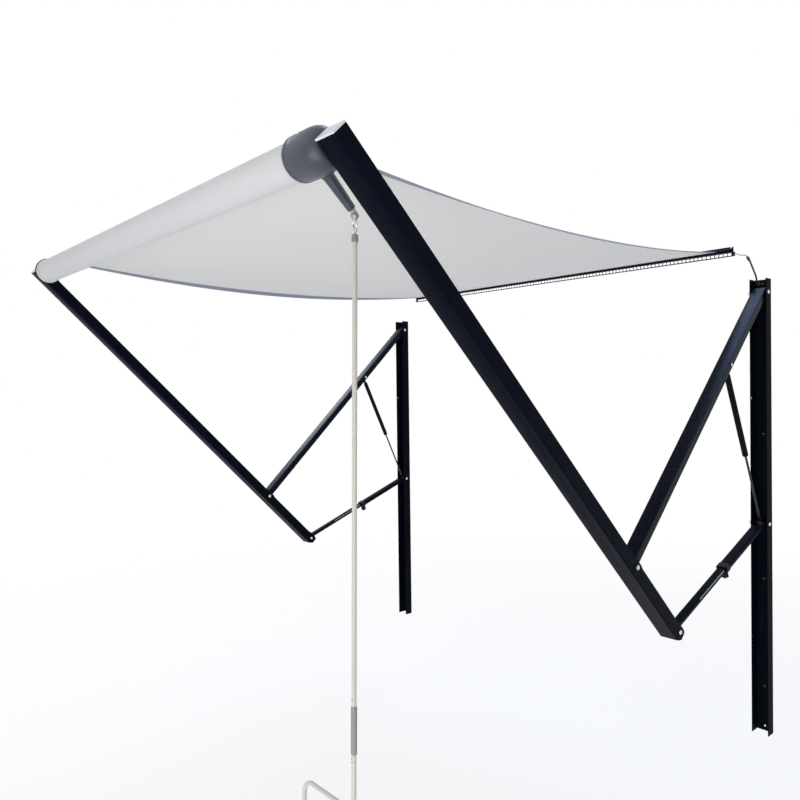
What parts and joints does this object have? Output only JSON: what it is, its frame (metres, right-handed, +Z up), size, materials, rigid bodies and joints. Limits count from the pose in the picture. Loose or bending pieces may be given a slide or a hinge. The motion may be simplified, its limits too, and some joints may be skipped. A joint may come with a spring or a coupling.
{
  "type": "camper awning",
  "caption": "Folding-arm camper awning with cranked fabric roller, telescopic pitch arms, gas struts, wall channels and LED light profile, shown open.",
  "frame": {"origin": "middle of the awning rail's back face, on the vehicle's wall", "axes": "+X along the wall to the right seen from in front, +Y into the wall, +Z up"},
  "size_m": [2.0736, 1.9885, 1.8256],
  "materials": {
    "black_aluminium": "black powder coat",
    "black_plastic": "moulded nylon",
    "pale_plastic": "moulded nylon",
    "bolt_steel": "zinc plated",
    "gear_metal": "machined",
    "strut_black": "black paint",
    "roller_aluminium": "mill finish",
    "light_fabric": "coated cloth",
    "binding_fabric": "woven tape",
    "led_board": "satin",
    "cable_rubber": "satin",
    "crank_paint": "painted",
    "grip_grey": "moulded"
  },
  "bodies": {
    "wall_frame": {"wall_channel_left": "black_aluminium", "wall_channel_right": "black_aluminium", "upper_pivot_bolt_left": "bolt_steel", "upper_pivot_bolt_right": "bolt_steel", "lower_pivot_bolt_left": "bolt_steel", "lower_pivot_bolt_right": "bolt_steel", "awning_rail": "black_aluminium", "keder_bead": "binding_fabric", "led_profile": "black_aluminium", "led_strip": "led_board", "led_end_cap_left": "black_plastic", "led_end_cap_right": "black_plastic", "lead_wire": "cable_rubber", "lead_joint": "cable_rubber", "supply_cable": "cable_rubber", "cable_grommet": "cable_rubber", "canopy": "light_fabric", "canopy_binding_left": "binding_fabric", "canopy_binding_right": "binding_fabric"},
    "upper_arms": {"upper_arm_left": "black_aluminium", "upper_arm_right": "black_aluminium"},
    "pitch_tubes": {"pitch_tube_left": "black_aluminium", "pitch_tube_right": "black_aluminium", "lock_collar_left": "black_plastic", "lock_collar_right": "black_plastic"},
    "knob_left": {"lock_knob_left": "black_plastic"},
    "knob_right": {"lock_knob_right": "black_plastic"},
    "pitch_bars": {"pitch_bar_left": "black_aluminium", "pitch_bar_right": "black_aluminium"},
    "outer_arms": {"outer_arm_left": "black_aluminium", "outer_arm_right": "black_aluminium", "foot_cap_left": "black_plastic", "foot_cap_right": "black_plastic", "arm_head_left": "pale_plastic", "arm_head_right": "pale_plastic", "foot_bolt_left": "bolt_steel", "foot_bolt_right": "bolt_steel", "gear_housing": "black_plastic", "housing_screw": "bolt_steel", "axle_pin": "bolt_steel"},
    "roller": {"roller_tube": "roller_aluminium", "fabric_roll": "light_fabric", "roller_end_left": "black_plastic", "roller_ring_left": "pale_plastic", "crown_gear": "gear_metal"},
    "pinion": {"bevel_pinion": "gear_metal"},
    "strut_rods": {"strut_rod_left": "bolt_steel", "strut_rod_right": "bolt_steel"},
    "strut_cylinders": {"strut_cylinder_left": "strut_black", "strut_cylinder_right": "strut_black"},
    "swivel": {"crank_yoke": "gear_metal"},
    "crank": {"winding_eye": "bolt_steel", "crank_hook": "bolt_steel", "crank_collar": "black_plastic", "crank_rod": "crank_paint"},
    "grip_upper": {"crank_grip_upper": "grip_grey"},
    "grip_lower": {"crank_grip_lower": "black_plastic"}
  },
  "joints": [
    {"name": "fold", "type": "hinge", "parent": "wall_frame", "child": "upper_arms", "pos_m": [0, -0.028, -0.179], "axis": [1, 0, 0], "range_deg": [0, 44.19], "stiffness_Nm_per_rad": 10, "springref_deg": -137.51, "deforming": ["canopy", "canopy_binding_left", "canopy_binding_right"]},
    {"name": "pitch_turn", "type": "hinge", "parent": "wall_frame", "child": "pitch_tubes", "pos_m": [0, -0.028, -1.03], "axis": [1, 0, 0], "range_deg": [0, 65.92]},
    {"name": "pitch_slide", "type": "slide", "parent": "pitch_tubes", "child": "pitch_bars", "axis": [0, -0.9366, -0.3503], "range_m": [0, 0.03385]},
    {"name": "outer_turn", "type": "hinge", "parent": "pitch_bars", "child": "outer_arms", "pos_m": [0, -0.68781, -1.27675], "axis": [1, 0, 0], "range_deg": [-110.21, 0]},
    {"name": "strut_turn", "type": "hinge", "parent": "wall_frame", "child": "strut_rods", "pos_m": [0, -0.028, -1.03], "axis": [1, 0, 0], "range_deg": [-24.05, 0]},
    {"name": "strut_slide", "type": "slide", "parent": "strut_rods", "child": "strut_cylinders", "axis": [0, 0.4397, -0.8981], "range_m": [0, 0.18789]},
    {"name": "roller_turn", "type": "hinge", "parent": "outer_arms", "child": "roller", "pos_m": [0, -1.93863, -0.03431], "axis": [1, 0, 0], "continuous": true},
    {"name": "pinion_turn", "type": "hinge", "parent": "outer_arms", "child": "pinion", "pos_m": [0.903, -1.93863, -0.03431], "axis": [0, 0.7107, -0.7035], "continuous": true},
    {"name": "crank_plumb", "type": "hinge", "parent": "outer_arms", "child": "swivel", "pos_m": [0.903, -1.83202, -0.13984], "axis": [1, 0, 0], "range_deg": [0, 31.39]},
    {"name": "crank_turn", "type": "hinge", "parent": "swivel", "child": "crank", "pos_m": [0.903, -1.83202, -0.13984], "axis": [0, -0.0192, -0.9998], "continuous": true},
    {"name": "grip_turn_upper", "type": "hinge", "parent": "crank", "child": "grip_upper", "pos_m": [0.903, -1.83202, -0.13984], "axis": [0, 0.0192, 0.9998], "continuous": true},
    {"name": "grip_turn_lower", "type": "hinge", "parent": "crank", "child": "grip_lower", "pos_m": [0.713, -1.83202, -0.13984], "axis": [0, 0.0192, 0.9998], "continuous": true},
    {"name": "lock_turn_left", "type": "hinge", "parent": "pitch_tubes", "child": "knob_left", "pos_m": [-1, -0.33054, -1.14314], "axis": [0, 0.3503, -0.9366], "range_deg": [0, 270]},
    {"name": "lock_turn_right", "type": "hinge", "parent": "pitch_tubes", "child": "knob_right", "pos_m": [1, -0.33054, -1.14314], "axis": [0, 0.3503, -0.9366], "range_deg": [0, 270]}
  ],
  "couplings": [
    {"joint": "pitch_turn", "follows": "fold", "ratio": 1.492},
    {"joint": "pitch_slide", "follows": "fold", "m_per_rad": 0.043896},
    {"joint": "outer_turn", "follows": "fold", "ratio": -2.4943},
    {"joint": "strut_turn", "follows": "fold", "ratio": -0.54416},
    {"joint": "strut_slide", "follows": "fold", "m_per_rad": 0.24363},
    {"joint": "crank_plumb", "follows": "fold", "ratio": 0.7104},
    {"joint": "pinion_turn", "follows": "roller_turn", "ratio": 3},
    {"joint": "crank_turn", "follows": "roller_turn", "ratio": 3}
  ]
}
